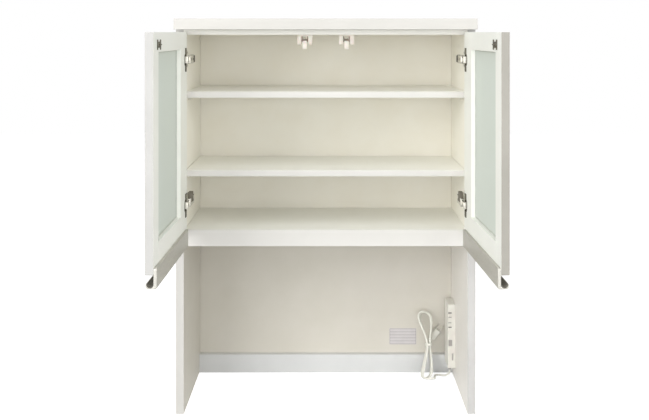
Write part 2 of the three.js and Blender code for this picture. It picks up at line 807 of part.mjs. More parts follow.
function addCord(parent) {
  const gland = new THREE.CylinderGeometry(glandTopRadius, glandEndRadius, glandLength, roundSides);
  gland.rotateX(Math.PI / 2).translate(glandX, glandY, outletBottom - floorLift - glandLength / 2);
  piece(parent, 'cord_strain_relief', gland, outletPlastic);
  piece(parent, 'cord_lead', plainTube(leadPoints()), cordVinyl);
  parent.add(hankFrame);
  piece(hankFrame, 'cord_hank', ringTube(hankPoints(), cordRadius, hankSides), cordVinyl);
  piece(hankFrame, 'cord_tie', tieGeometry(), cordVinyl);
  piece(parent, 'cord_tail', plainTube(tailPoints()), cordVinyl);
  const plug = piece(parent, 'plug', plugGeometry(), outletPlastic);
  plug.position.copy(plugPlace());
  plug.rotation.y = THREE.MathUtils.degToRad(plugTurn);
  console.log(`least gap in the hank ${leastHankGap().toFixed(2)} mm`);
}

const parts = new THREE.Group();
const cabinet = new THREE.Group();
cabinet.position.y = -(railFace + rearRailThickness / 2);
parts.add(cabinet);
addCarcass(cabinet);
addDoor(cabinet, 'left', 1, leftOpenAngle);
addDoor(cabinet, 'right', -1, rightOpenAngle);
hingeHeights.forEach((z, index) => {
  const level = ['lower', 'upper'][index];
  addHinge(cabinet, `left_${level}`, -1, z, level === 'lower');
  addHinge(cabinet, `right_${level}`, 1, z, level === 'lower');
});
addLatch(cabinet, 'left', -1);
addLatch(cabinet, 'right', 1);
addOutlet(cabinet);
addCord(cabinet);

export default parts;
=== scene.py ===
# Upper unit of a step back cupboard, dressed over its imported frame.
# Metres, +Z up, +Y towards the wall, the floor at z 0.
import json
import math

import bmesh
import bpy
from mathutils import Matrix, Vector


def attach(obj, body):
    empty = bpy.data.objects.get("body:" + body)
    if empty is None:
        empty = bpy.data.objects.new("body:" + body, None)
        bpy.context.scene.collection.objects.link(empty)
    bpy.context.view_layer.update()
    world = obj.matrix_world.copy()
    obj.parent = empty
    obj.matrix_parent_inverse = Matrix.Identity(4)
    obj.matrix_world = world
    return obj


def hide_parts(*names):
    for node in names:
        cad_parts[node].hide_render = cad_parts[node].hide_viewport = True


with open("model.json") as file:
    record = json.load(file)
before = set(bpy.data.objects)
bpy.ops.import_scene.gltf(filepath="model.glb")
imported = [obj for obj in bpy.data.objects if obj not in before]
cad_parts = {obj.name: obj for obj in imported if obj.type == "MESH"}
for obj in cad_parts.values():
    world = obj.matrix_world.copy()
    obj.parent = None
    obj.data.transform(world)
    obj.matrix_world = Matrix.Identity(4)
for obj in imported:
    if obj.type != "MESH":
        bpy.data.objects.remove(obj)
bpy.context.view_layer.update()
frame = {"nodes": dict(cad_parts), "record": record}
bodyOf = {node: body for body, nodes in frame["record"]["behaviour"]["bodies"].items() for node in nodes}
mm = 0.001
cabinetFront = -288.5  # the side panels' front edges, mm along y
usualEdge = 0.0008  # how far edges are eased where a piece says nothing else, metres
sameWay = 0.9  # the least cosine between directions that count as one
print("frame loaded:", len(frame["nodes"]), "nodes")


def linear(code):
    # "#rrggbb" to linear colour
    parts = [int(code[i : i + 2], 16) / 255 for i in (1, 3, 5)]
    return [c / 12.92 if c <= 0.04045 else ((c + 0.055) / 1.055) ** 2.4 for c in parts] + [1.0]


def addNode(tree, kind, inputs=None, **settings):
    # one node with its settings, its values and its links
    node = tree.nodes.new("ShaderNode" + kind)
    for name, value in settings.items():
        setattr(node, name, value)
    for socket, value in (inputs or {}).items():
        if isinstance(value, bpy.types.NodeSocket):
            tree.links.new(value, node.inputs[socket])
        else:
            node.inputs[socket].default_value = value
    return node


def newMaterial(name):
    material = bpy.data.materials.new(name)
    material.use_nodes = True
    material.node_tree.nodes.clear()
    return material, material.node_tree


def perMetre(grain):
    # a pattern's scale from the real size of its grain, mm
    return 1000 / grain


def showShader(tree, shader):
    addNode(tree, "OutputMaterial", {"Surface": shader})


def place(name, mesh, material, body):
    # a finished mesh as a piece that rides on its body
    if not mesh.materials:
        mesh.materials.append(material)
    piece = bpy.data.objects.new(name, mesh)
    bpy.context.scene.collection.objects.link(piece)
    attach(piece, body)
    return piece


def toMesh(name, bm, smooth=None):
    # smooth is the widest angle, in degrees, that still shades round
    mesh = bpy.data.meshes.new(name)
    bm.to_mesh(mesh)
    bm.free()
    if smooth:
        mesh.shade_smooth()
        mesh.set_sharp_from_angle(angle=math.radians(smooth))
    return mesh


def softenEdges(bm, width, segments=2, fromAngle=35):
    # a round on each edge that turns by more than fromAngle, in degrees
    edges = [e for e in bm.edges if len(e.link_faces) == 2 and e.calc_face_angle(0) > math.radians(fromAngle)]
    bmesh.ops.bevel(bm, geom=edges, offset=width, segments=segments, profile=0.5,
                    affect="EDGES", clamp_overlap=True, material=-1)


def addBlock(bm, xs, ys, zs):
    # a block between two places on each axis
    size = [abs(b - a) for a, b in (xs, ys, zs)]
    middle = [(a + b) / 2 for a, b in (xs, ys, zs)]
    bmesh.ops.create_cube(bm, size=1, matrix=Matrix.Translation(middle) @ Matrix.Diagonal(size + [1]))


def rowPlace(x, depth, z):
    # mm, with the depth counted from the panels' front edges, to a place in the row frame
    return Vector((x, depth + cabinetFront, z)) * mm


def addRowBlock(bm, xs, depths, zs):
    # a block whose two far corners are given in the same mm
    low, high = (rowPlace(*corner) for corner in zip(xs, depths, zs))
    addBlock(bm, *zip(low, high))


def addRod(bm, start, along, radius, endRadius, sides):
    # a rod from a place, along a vector
    turn = along.to_track_quat("Z", "Y").to_matrix().to_4x4()
    matrix = Matrix.Translation(start + along / 2) @ turn
    bmesh.ops.create_cone(bm, cap_ends=True, segments=sides, radius1=radius, radius2=endRadius,
                          depth=along.length, matrix=matrix)


def copyOfNode(node):
    # the node's own mesh, merged, with its flat faces made whole
    bm = bmesh.new()
    bm.from_mesh(frame["nodes"][node].data)
    bmesh.ops.remove_doubles(bm, verts=bm.verts, dist=0.00001)
    bmesh.ops.dissolve_limit(bm, angle_limit=math.radians(0.5), verts=bm.verts, edges=bm.edges)
    return bm


def paintFaces(piece, material, toward, below=None):
    # another finish on the faces that look one way, or on those of them that lie below a height
    piece.data.materials.append(material)
    for face in piece.data.polygons:
        if face.normal.dot(toward) > sameWay and (below is None or face.center.z < below):
            face.material_index = len(piece.data.materials) - 1


def cutThrough(bm, spot, normal):
    # a plane cut through the faces that leaves both sides in place
    bmesh.ops.bisect_plane(bm, geom=bm.verts[:] + bm.edges[:] + bm.faces[:], plane_co=spot, plane_no=normal)


def splitAtHeight(piece, height):
    # a level cut, so that the two parts can be painted apart
    bm = bmesh.new()
    bm.from_mesh(piece.data)
    cutThrough(bm, (0, 0, height), (0, 0, 1))
    bm.to_mesh(piece.data)
    bm.free()


def dress(node, material, edge=usualEdge, segments=2, smooth=None, fromAngle=35):
    # a copy of a node with its edges eased, standing for the node
    bm = copyOfNode(node)
    softenEdges(bm, edge, segments, fromAngle)
    piece = place(node + "_dressed", toMesh(node, bm, smooth), material, bodyOf[node])
    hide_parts(node)
    return piece


def finishSurface(material, tonePattern, tones, places, finePattern, gloss, relief, depth, values):
    # what the finishes share: two tones spread by one pattern, gloss and relief by a finer one
    tree = material.node_tree
    tone = addNode(tree, "ValToRGB", {"Fac": tonePattern})
    low, high = tone.color_ramp.elements
    low.position, high.position = places
    low.color, high.color = (linear(code) for code in tones)
    rough = addNode(tree, "MapRange", {"Value": finePattern, "To Min": gloss[0], "To Max": gloss[1]})
    bump = addNode(tree, "Bump", {"Height": finePattern, "Strength": relief, "Distance": depth})
    shader = addNode(tree, "BsdfPrincipled", {
        "Base Color": tone.outputs["Color"], "Roughness": rough.outputs["Result"],
        "Normal": bump.outputs["Normal"], **values})
    showShader(tree, shader.outputs["BSDF"])
    return material


# each finish's function takes its patterns' sizes in mm
def foilMaterial(name, light, dark, rough, cloudSize=111, poreSize=1.8, relief=0.05):
    # paper foil on particle board: even and pale, a faint cloudiness, a fine pore relief that breaks the
    # gloss, drawn coarser than real pores so that it shows
    material, tree = newMaterial(name)
    where = addNode(tree, "TexCoord").outputs["Object"]
    cloud = addNode(tree, "TexNoise", {"Vector": where, "Scale": perMetre(cloudSize), "Detail": 3.0,
                                       "Roughness": 0.55})
    pore = addNode(tree, "TexNoise", {"Vector": where, "Scale": perMetre(poreSize), "Detail": 2.0})
    return finishSurface(material, cloud.outputs["Fac"], (dark, light), (0.32, 0.68), pore.outputs["Fac"],
                         (rough - 0.05, rough + 0.06), relief, 0.0003, {"IOR": 1.46})


def plasticMaterial(name, light, dark, rough, clear=0.0, cloudSize=22.2, skinSize=0.714, relief=0.04):
    # moulded plastic: even colour, a fine spark-eroded texture, softer gloss on its high spots
    material, tree = newMaterial(name)
    where = addNode(tree, "TexCoord").outputs["Object"]
    cloud = addNode(tree, "TexNoise", {"Vector": where, "Scale": perMetre(cloudSize), "Detail": 2.0})
    skin = addNode(tree, "TexNoise", {"Vector": where, "Scale": perMetre(skinSize), "Detail": 1.0})
    return finishSurface(material, cloud.outputs["Fac"], (dark, light), (0.35, 0.65), skin.outputs["Fac"],
                         (rough - 0.05, rough + 0.07), relief, 0.0002,
                         {"IOR": 1.5, "Transmission Weight": clear,
                          "Subsurface Weight": 0.15 if clear else 0.0, "Subsurface Scale": 0.002})


def metalMaterial(name, light, dark, rough, stretch=(1, 1, 1), streakSize=1.11, relief=0.05, metallic=1.0):
    # metal with a directional or fine finish: streaks along the brushing, a gloss that changes with them
    material, tree = newMaterial(name)
    where = addNode(tree, "TexCoord").outputs["Object"]
    along = addNode(tree, "Mapping", {"Vector": where, "Scale": stretch})
    streak = addNode(tree, "TexNoise", {"Vector": along.outputs["Vector"], "Scale": perMetre(streakSize),
                                        "Detail": 3.0}).outputs["Fac"]
    return finishSurface(material, streak, (dark, light), (0.3, 0.7), streak,
                         (rough - 0.06, rough + 0.08), relief, 0.0002, {"Metallic": metallic})


def frostedGlassMaterial(name, middle, edge, rough, etchSize=0.625, relief=0.12):
    # acid-etched float glass: milky, greener near its edges, a very fine etched grain
    material, tree = newMaterial(name)
    pane = addNode(tree, "UVMap", uv_map="pane").outputs["UV"]
    apart = addNode(tree, "SeparateXYZ", {"Vector": pane})
    where = addNode(tree, "TexCoord").outputs["Object"]
    etch = addNode(tree, "TexNoise", {"Vector": where, "Scale": perMetre(etchSize), "Detail": 2.0})
    return finishSurface(material, apart.outputs["X"], (edge, middle), (0.0, 0.85), etch.outputs["Fac"],
                         (rough - 0.05, rough + 0.05), relief, 0.0002,
                         {"IOR": 1.5, "Transmission Weight": 0.1})


# one white foil in lighter and darker copies, painted light and shade for the light each board and face gets,
# and the back's and rails' own foils
whiteFoil = foilMaterial("satinWhiteFoil", "#c7c5c0", "#c3c1bc", 0.42)
railFoil = foilMaterial("satinRailFoil", "#dcdad5", "#d8d6d1", 0.42)
# a darker white, painted shade, for the doors' free edges and the right panel's front edge
shadedEdgeFoil = foilMaterial("whiteEdgePaintedShade", "#bdbcb9", "#b8b7b4", 0.45)
# a lighter white, painted light, for the carcass top's front face under the overhang
litTopFoil = foilMaterial("satinPaintedLightFoil", "#efede6", "#ebe9e2", 0.42)
innerFoil = foilMaterial("satinInnerFoil", "#f8f5eb", "#f5f2e6", 0.5)
doorFoil = foilMaterial("satinDoorFoil", "#f6f7f1", "#f3f4ed", 0.42)
ivoryFoil = foilMaterial("mattIvoryFoil", "#f0ede3", "#ede9dd", 0.55)
# a darker foil, painted shade, for the lower back panel and the left panel's inner face in the open bay
shadedLowerFoil = foilMaterial("mattDarkFoilPaintedShade", "#cfcbc1", "#cbc7bc", 0.55)
# a darker foil, painted shade, for the right panel's inner face in the open bay
shadedNeutralFoil = foilMaterial("mattNeutralPaintedShade", "#efece6", "#ebe8e2", 0.5)
shelfFoil = foilMaterial("whiteShelfFoil", "#f8f7f0", "#f5f4ec", 0.42)
coolFoil = foilMaterial("mattCoolWhiteFoil", "#d3d4d3", "#cecfce", 0.5)
greyFreeEdgeFoil = foilMaterial("greyRightDoorEdge", "#a19e96", "#98958d", 0.5, poreSize=2.8, relief=0.12)
# the panes' outer side is painted greyer, painted shade, so that it keeps its tone under the lamps when the
# doors are closed
frostedGlass = frostedGlassMaterial("etchedGlass", "#dde5dd", "#dbe2da", 0.5)
shadedOuterGlass = frostedGlassMaterial("outerFaceEtchedGlassPaintedShade", "#b7c0b8", "#aab4ab", 0.4)
# vinyl, aluminium, nickel and steel
gasketVinyl = plasticMaterial("paleVinylGasket", "#cdcfc8", "#c4c6be", 0.55)
satinAluminium = metalMaterial("brushedAluminium", "#c4c2ba", "#b2b0a8", 0.45, stretch=(1.0, 0.02, 1.0),
                               streakSize=0.909, metallic=0.4)
nickel = metalMaterial("nickelPlate", "#e0ddd3", "#d3d0c6", 0.32, streakSize=3.85, metallic=0.6)
darkSteel = metalMaterial("darkPlatedSteel", "#6b675c", "#565247", 0.38, streakSize=4.17)
screwSteel = metalMaterial("screwSteel", "#a5a298", "#8f8c82", 0.33, streakSize=3.33)
damperPlastic = plasticMaterial("greyDamperPlastic", "#6c675a", "#615c50", 0.5)
hollowShadeAluminium = metalMaterial("shadedAluminium", "#8b8880", "#7e7b73", 0.5, metallic=0.4)
# matt dark colours painted as shade: on the hinge arms' turned-in edges and rear clips, on the latch springs'
# leaves, and in recesses
shadeSteel = plasticMaterial("galvanisedEdgePaintedShade", "#4c483e", "#423e35", 0.5)
springShadeBronze = plasticMaterial("bronzeLeafPaintedShade", "#8a6c60", "#7d6054", 0.4)
recessDark = plasticMaterial("recessShadow", "#2c2a27", "#222019", 0.7)
# the plastics of the latches, the outlet strip, the cord and the blank plate
latchPlastic = plasticMaterial("clearCreamPlastic", "#efe7de", "#e8dfd4", 0.36, clear=0.2)
outletPlastic = plasticMaterial("ivorySocketPlastic", "#d6d2ca", "#deddd4", 0.4)
outletWhite = plasticMaterial("whiteSocketPlastic", "#e6e4dd", "#e9e8e1", 0.4)
socketGrey = plasticMaterial("greySwitchRocker", "#a19d99", "#95918d", 0.5)
paleInsert = plasticMaterial("paleJackInsert", "#b3afab", "#a8a4a0", 0.5)
cordVinyl = plasticMaterial("whiteCordVinyl", "#e8e7df", "#e0dfd6", 0.45, relief=0.06)
labelPaper = plasticMaterial("blankLabelFilm", "#cac6c6", "#c5c1c1", 0.5)
labelRule = plasticMaterial("greyPrintedRule", "#8f8989", "#898383", 0.6)
print("finishes made")

camera = {"place": (0.0025, -2.5795, 1.019), "lens": 47.59, "sensor": 36, "shift": (-0.0032, -0.2735)}
cameraData = bpy.data.cameras.new("camera")
cameraData.sensor_width = camera["sensor"]
cameraData.lens = camera["lens"]
cameraData.shift_x, cameraData.shift_y = camera["shift"]
cameraObject = bpy.data.objects.new("camera", cameraData)
cameraObject.location = camera["place"]
cameraObject.rotation_euler = (math.radians(90), 0, 0)  # level, facing the wall
bpy.context.scene.collection.objects.link(cameraObject)
bpy.context.scene.camera = cameraObject

lamps = {
    "left": {"place": (-3.5, -4.85, 2.1), "aim": (0.1, -0.2, 0.6), "size": 3.75, "power": 213.0},
    "right": {"place": (3.5, -4.85, 1.95), "aim": (-0.1, -0.2, 0.6), "size": 3.75, "power": 97.0},
    "front": {"place": (0.0, -6.2, 0.6), "aim": (0.0, -0.1, 0.6), "size": 2.4, "power": 60.0},
    "high": {"place": (-0.3, -3.2, 4.7), "aim": (0.0, -0.2, 0.5), "size": 3.9, "power": 102.0},
    "farLeft": {"place": (-5.05, -2.75, 1.75), "aim": (0.2, -0.5, 0.7), "size": 3.6, "power": 27.0},
    "farRight": {"place": (5.05, -2.75, 1.75), "aim": (-0.2, -0.5, 0.7), "size": 3.6, "power": 72.0},
    "corner": {"place": (0.15, -3.0, 0.35), "aim": (0.33, -0.02, 0.1), "size": 0.5, "power": 0.1,
               "spread": 10},
}
for name, lamp in lamps.items():
    data = bpy.data.lights.new(name, "AREA")
    data.size = lamp["size"]
    data.energy = lamp["power"]
    data.spread = math.radians(lamp.get("spread", 180))
    light = bpy.data.objects.new(name, data)
    light.location = lamp["place"]
    light.rotation_euler = (Vector(lamp["aim"]) - Vector(lamp["place"])).to_track_quat("-Z", "Y").to_euler()
    bpy.context.scene.collection.objects.link(light)

ambient = {"colour": "#ffffff", "strength": 0.3}


def whiteWhereSeen(tree, lit, seen):
    # camera, glossy and transmission rays meet the plain white background
    path = addNode(tree, "LightPath")
    rays = [path.outputs[f"Is {kind} Ray"] for kind in ("Camera", "Glossy", "Transmission")]
    first = addNode(tree, "Math", {0: rays[0], 1: rays[1]}, operation="MAXIMUM")
    clear = addNode(tree, "Math", {0: first.outputs[0], 1: rays[2]}, operation="MAXIMUM")
    return addNode(tree, "MixShader", {0: clear.outputs[0], 1: lit, 2: seen})


world = bpy.data.worlds.new("studio")
world.use_nodes = True
bpy.context.scene.world = world
worldTree = world.node_tree
worldTree.nodes.clear()
around = addNode(worldTree, "Background", {"Color": linear(ambient["colour"]),
                                           "Strength": ambient["strength"]})
white = addNode(worldTree, "Background", {"Color": linear("#ffffff"), "Strength": 1.0})
mixed = whiteWhereSeen(worldTree, around.outputs[0], white.outputs[0])
addNode(worldTree, "OutputWorld", {"Surface": mixed.outputs[0]})
bpy.context.scene.view_settings.view_transform = "Standard"

floor = {"half": 6.0, "colour": "#b4b4b4", "glow": 0.85, "drop": 0.0004}  # drop: just under the feet
floorMaterial, floorTree = newMaterial("studioFloor")
matt = addNode(floorTree, "BsdfDiffuse", {"Color": linear(floor["colour"])})
glow = addNode(floorTree, "Emission", {"Color": linear("#ffffff"), "Strength": floor["glow"]})
both = addNode(floorTree, "AddShader", {0: matt.outputs[0], 1: glow.outputs[0]})
floorShader = whiteWhereSeen(floorTree, matt.outputs[0], both.outputs[0])
showShader(floorTree, floorShader.outputs[0])
floorMesh = bmesh.new()
bmesh.ops.create_grid(floorMesh, x_segments=1, y_segments=1, size=floor["half"])
floorPiece = bpy.data.objects.new("floor", toMesh("floor", floorMesh))
floorPiece.data.materials.append(floorMaterial)
floorPiece.location.z = -floor["drop"]
bpy.context.scene.collection.objects.link(floorPiece)
print("camera, lamps and floor placed")

# the cord, in mm: the lead on the floor, the hank against the wall, the tail to the plug
cord = {
    "diameter": 5.5, "lift": 0.3, "sides": 12, "stepsPerSpan": 5,
    "gland": (366, 243), "glandFoot": 24.4,
    "hankPlace": (293, 207.5), "turns": 4.25, "wholeTurns": 4, "stepsPerTurn": 40,
    "length": 186, "lean": 18.8, "topRadius": 17.5, "footRadius": 13, "waist": 3.4, "bow": 11,
    "pitch": 6.2, "fanTop": 4, "fanFoot": 1.5,
    "plug": (328, 287.2, 113), "plugTurn": 33, "plugLength": 32,
}


def easeShare(share):
    return share * share * (3 - 2 * share)


def hankPoint(turns):
    # each turn climbs one pitch towards the wall, up one side and down the other, drawn in at the waist
    eighths = 8
    phase = (turns % 1) * eighths
    mirrored = phase > eighths / 2
    share = (eighths - phase if mirrored else phase) - eighths / 4
    top = share > 0
    radius = cord["topRadius"] if top else cord["footRadius"]
    end, toWaist = (cord["length"], -1) if top else (0, 1)
    fold = (1 - max(abs(share) - 1, 0)) * math.pi / 2
    centre, waist = end + toWaist * radius, cord["length"] / 2
    across, along = radius * math.sin(fold), centre - toWaist * radius * math.cos(fold)
    if abs(share) < 1:
        along = waist + abs(share) * (centre - waist)
        across = cord["waist"] + (radius - cord["waist"]) * easeShare(abs(share))
    reach = (along - waist) / (end - waist)
    spread = 2 * turns / cord["turns"] - 1
    fan = (cord["fanTop"] if top else -cord["fanFoot"]) * spread * reach
    bow = cord["bow"] * (1 - reach**2)
    return Vector(((across if mirrored else -across) + fan + bow, turns * cord["pitch"], along))


lean = math.radians(cord["lean"])
hankFrame = Matrix.Translation((
    cord["hankPlace"][0], cord["hankPlace"][1],
    cord["diameter"] / 2 + cord["lift"] + cord["wholeTurns"] * cord["pitch"] * math.sin(lean),
)) @ Matrix.Rotation(-lean, 4, "X")


def smoothRoute(points, steps):
    # a centripetal curve through the points
    route = []
    last = len(points) - 1
    for index in range(last):
        p1, p2 = points[index], points[index + 1]
        p0 = points[index - 1] if index else 2 * p1 - p2
        p3 = points[index + 2] if index + 2 <= last else 2 * p2 - p1
        d0, d1, d2 = ((b - a).length ** 0.5 for a, b in ((p0, p1), (p1, p2), (p2, p3)))
        t1 = ((p1 - p0) / d0 - (p2 - p0) / (d0 + d1) + (p2 - p1) / d1) * d1
        t2 = ((p2 - p1) / d1 - (p3 - p1) / (d1 + d2) + (p3 - p2) / d2) * d1
        second, third = 3 * (p2 - p1) - 2 * t1 - t2, 2 * (p1 - p2) + t1 + t2
        for step in range(steps):
            w = step / steps
            route.append(p1 + t1 * w + second * w**2 + third * w**3)
    return route + [points[-1]]


diameter, lift = cord["diameter"], cord["lift"]
onFloor = diameter / 2 + lift
hankStart = hankFrame @ (hankPoint(0) + Vector((diameter, 0, 0)))
leadEnd = hankStart + Vector((lift, 0, 0))
leadPoints = [Vector(p) for p in (
    (*cord["gland"], cord["glandFoot"]),
    (*cord["gland"], cord["glandFoot"] - diameter),
    (363.5, 243.6, 12.4), (357, 246, 6.6), (347, 250.5, 3.5), (338, 254.5, onFloor), (330, 255.5, onFloor),
    (323.5, 251, onFloor + lift), (321, 242, 4.2), (320.5, 232, 6), (320, 222, 8), (317, 213.5, 9.6))]
leadPoints += [leadEnd + Vector((diameter, 0, 0)), leadEnd]
turnSteps = round(cord["turns"] * cord["stepsPerTurn"])
hankPoints = [hankFrame @ hankPoint(step / cord["stepsPerTurn"]) for step in range(turnSteps + 1)]
tailStart = hankPoint(cord["turns"]) + Vector((0, 0, diameter + lift))
plugLean = Vector((math.sin(math.radians(cord["plugTurn"])), 0, math.cos(math.radians(cord["plugTurn"]))))
plugFoot = Vector(cord["plug"]) - plugLean * (cord["plugLength"] / 2 + lift)
tailPoints = [hankFrame @ tailStart, hankFrame @ (tailStart + Vector((0, 0, diameter)))]
tailPoints += [Vector(p) for p in (
    (302.3, 271.5, 103), (305.5, 278, 101.5), (308.5, 283, 97.5), (311.8, 286.2, 94))]
tailPoints += [plugFoot - plugLean * diameter, plugFoot]
lead, tail = (smoothRoute(points, cord["stepsPerSpan"]) for points in (leadPoints, tailPoints))
route = [rowPlace(*p) for p in lead + [hankStart] + hankPoints + tail]


def tubeMesh(name, points, radius, sides):
    # rings from create_circle, carried along the route without twist, each bridged to the one before
    bm = bmesh.new()
    normal = Vector((0, 1, 0))
    lastRing = set()
    for index, point in enumerate(points):
        ahead = (points[min(index + 1, len(points) - 1)] - points[max(index - 1, 0)]).normalized()
        normal = (normal - ahead * normal.dot(ahead)).normalized()
        turn = Matrix((normal, ahead.cross(normal), ahead)).transposed().to_4x4()
        matrix = Matrix.Translation(point) @ turn
        made = bmesh.ops.create_circle(bm, segments=sides, radius=radius, matrix=matrix)["verts"]
        ring = {edge for vert in made for edge in vert.link_edges}
        if lastRing:
            bmesh.ops.bridge_loops(bm, edges=list(lastRing | ring))
        lastRing = ring
    bmesh.ops.holes_fill(bm, edges=[e for e in bm.edges if len(e.link_faces) == 1], sides=sides)
    bmesh.ops.recalc_face_normals(bm, faces=bm.faces)
    return toMesh(name, bm, smooth=50)


cordMesh = tubeMesh("power_cord", route, diameter / 2 * mm, cord["sides"])
cordPiece = place("power_cord", cordMesh, cordVinyl, "carcass")
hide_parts("cord_lead", "cord_hank", "cord_tail")
dress("cord_tie", cordVinyl, edge=0.0004, smooth=40)

# the plug, drawn upright in mm at its middle and then leant on its cord
plug = {"size": (22, 17, 31), "corner": 5, "edge": 1.6, "taper": 0.42,
        "blade": (1.5, 6.3, 17), "bladeRoot": 1, "bladeEdge": 0.35, "spacing": 12.7}
plugTilt = Matrix.Rotation(math.radians(cord["plugTurn"]), 4, "Y")
plugMatrix = Matrix.Translation(rowPlace(*cord["plug"])) @ plugTilt @ Matrix.Scale(mm, 4)
x, y, z = (size / 2 for size in plug["size"])
bm = bmesh.new()
addBlock(bm, (-x, x), (-y, y), (-z, z))
uprights = [e for e in bm.edges if abs(e.verts[0].co.z - e.verts[1].co.z) > z]
bmesh.ops.bevel(bm, geom=uprights, offset=plug["corner"], segments=5, profile=0.5, affect="EDGES",
                material=-1)
for v in bm.verts:  # the grip draws in towards the cord
    if v.co.z < 0:
        v.co.x *= 1 - plug["taper"]
softenEdges(bm, plug["edge"], segments=3, fromAngle=50)
bmesh.ops.transform(bm, matrix=plugMatrix, verts=bm.verts)
plugPiece = place("plug_body", toMesh("plug_body", bm, smooth=40), cordVinyl, "carcass")
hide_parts("plug")

thick, wide, long = plug["blade"]
bm = bmesh.new()
for side in (-1, 1):
    middle = side * plug["spacing"] / 2
    addBlock(bm, (middle - thick / 2, middle + thick / 2), (-wide / 2, wide / 2),
             (z - plug["bladeRoot"], z + long))
softenEdges(bm, plug["bladeEdge"])
bmesh.ops.transform(bm, matrix=plugMatrix, verts=bm.verts)
bladePiece = place("plug_blades", toMesh("plug_blades", bm), nickel, "carcass")

dress("cord_strain_relief", socketGrey, edge=0.0006, smooth=40)

# the carcass: each board's foil, then the faces that have another one, a lighter or darker copy that paints
# in light or shade
boards = {
    "side_panel_left": whiteFoil, "side_panel_right": whiteFoil, "carcass_top": innerFoil,
    "top_board": whiteFoil, "back_panel_upper": ivoryFoil, "back_panel_lower": shadedLowerFoil,
    "fixed_board": shelfFoil, "front_rail": railFoil, "rear_rail": coolFoil, "shelf_middle": shelfFoil,
    "shelf_upper": shelfFoil,
}
closeEdges = {  # metres: the edges are eased less where boards meet
    "back_panel_upper": 0.0003, "back_panel_lower": 0.0003, "rear_rail": 0.0003, "front_rail": 0.0002,
    "fixed_board": 0.0002, "carcass_top": 0.0002, "top_board": 0.0004,
}
upward, frontward, rightward = Vector((0, 0, 1)), Vector((0, -1, 0)), Vector((1, 0, 0))
openBayTop = 0.474  # below it the side panels' inner faces are painted darker than behind the doors, painted shade
paints = {  # each a lighter or darker copy, painted light or shade: a finish, the way its faces look and, for some, the height that they lie below
    "side_panel_left": ((innerFoil, rightward), (shadedLowerFoil, rightward, openBayTop), (railFoil, -rightward)),
    "side_panel_right": ((innerFoil, -rightward), (shadedNeutralFoil, -rightward, openBayTop),
                         (shadedEdgeFoil, frontward), (railFoil, rightward)),
    "shelf_middle": ((railFoil, frontward),), "shelf_upper": ((railFoil, frontward),),
    "front_rail": ((shelfFoil, upward),), "carcass_top": ((litTopFoil, frontward),),
    "back_panel_lower": ((ivoryFoil, -frontward),), "top_board": ((railFoil, upward),),
}
for node, material in boards.items():
    piece = dress(node, material, closeEdges.get(node, usualEdge))
    if node.startswith("side_panel"):
        splitAtHeight(piece, openBayTop)
    for paint in paints.get(node, ()):
        paintFaces(piece, *paint)
for level in ("middle", "upper"):
    for row in ("front", "rear"):
        for side in ("left", "right"):
            dress(f"{level}_shelf_pin_{row}_{side}", nickel, edge=0.0002, smooth=40)
print("carcass dressed")

# a blank plate with faint rules, on the lower back panel
label = {"middle": (232.5, 102.6), "size": (81, 48.6), "panelFace": 297, "thick": 0.3, "sunk": 0.1,
         "rules": 6, "rule": 1.0, "inset": 1.6, "rise": 0.06, "edgeRise": 0.07}
x, z = label["middle"]
halfX, halfZ = (size / 2 for size in label["size"])
face, sunk = label["panelFace"] - label["thick"], label["sunk"]
bm = bmesh.new()
addRowBlock(bm, (x - halfX, x + halfX), (face, label["panelFace"] + sunk), (z - halfZ, z + halfZ))
place("blank_label", toMesh("blank_label", bm), labelPaper, "carcass")
half = label["rule"] / 2
left, right = x - halfX + label["inset"], x + halfX - label["inset"]
foot, head = z - halfZ + label["inset"], z + halfZ - label["inset"]
bm = bmesh.new()
for index in range(label["rules"]):
    height = foot + index * (head - foot) / (label["rules"] - 1)
    addRowBlock(bm, (left, right), (face - label["rise"], face + sunk), (height - half, height + half))
for edge in (left, right):
    addRowBlock(bm, (edge - half, edge + half), (face - label["edgeRise"], face + sunk), (foot, head))
place("blank_label_rules", toMesh("blank_label_rules", bm), labelRule, "carcass")

# heights and depths in mm, the rest as shares: the rim's of the height, the others of the head's radius
screw = {"height": 1.3, "sides": 20, "rim": 0.55, "crown": 0.72, "crossLength": 1.05, "crossWidth": 0.8 / 3.4,
         "crossDepth": 0.12}


def addScrew(heads, marks, spot, out, radius):
    # a pan head on a face, with its cross as a thin dark block, painted shade; spot is in metres, out is the
    # way it faces, the radius is in mm
    radius, out = radius * mm, Vector(out).normalized()
    full = out * screw["height"] * mm
    rim = full * screw["rim"]
    addRod(heads, spot, rim, radius, radius, screw["sides"])
    addRod(heads, spot + rim, full - rim, radius, radius * screw["crown"], screw["sides"])
    turn = out.to_track_quat("Z", "Y").to_matrix().to_4x4()
    length, width = radius * screw["crossLength"], radius * screw["crossWidth"]
    cross = Matrix.Diagonal((length, width, screw["crossDepth"] * mm, 1))
    for angle in (45, 135):
        matrix = Matrix.Translation(spot + full) @ turn @ Matrix.Rotation(math.radians(angle), 4, "Z") @ cross
        bmesh.ops.create_cube(marks, size=1, matrix=matrix)


def placeScrews(name, heads, marks, body):
    place(name + "_screws", toMesh(name + "_screws", heads, smooth=40), screwSteel, body)
    place(name + "_screw_crosses", toMesh(name + "_screw_crosses", marks), recessDark, body)


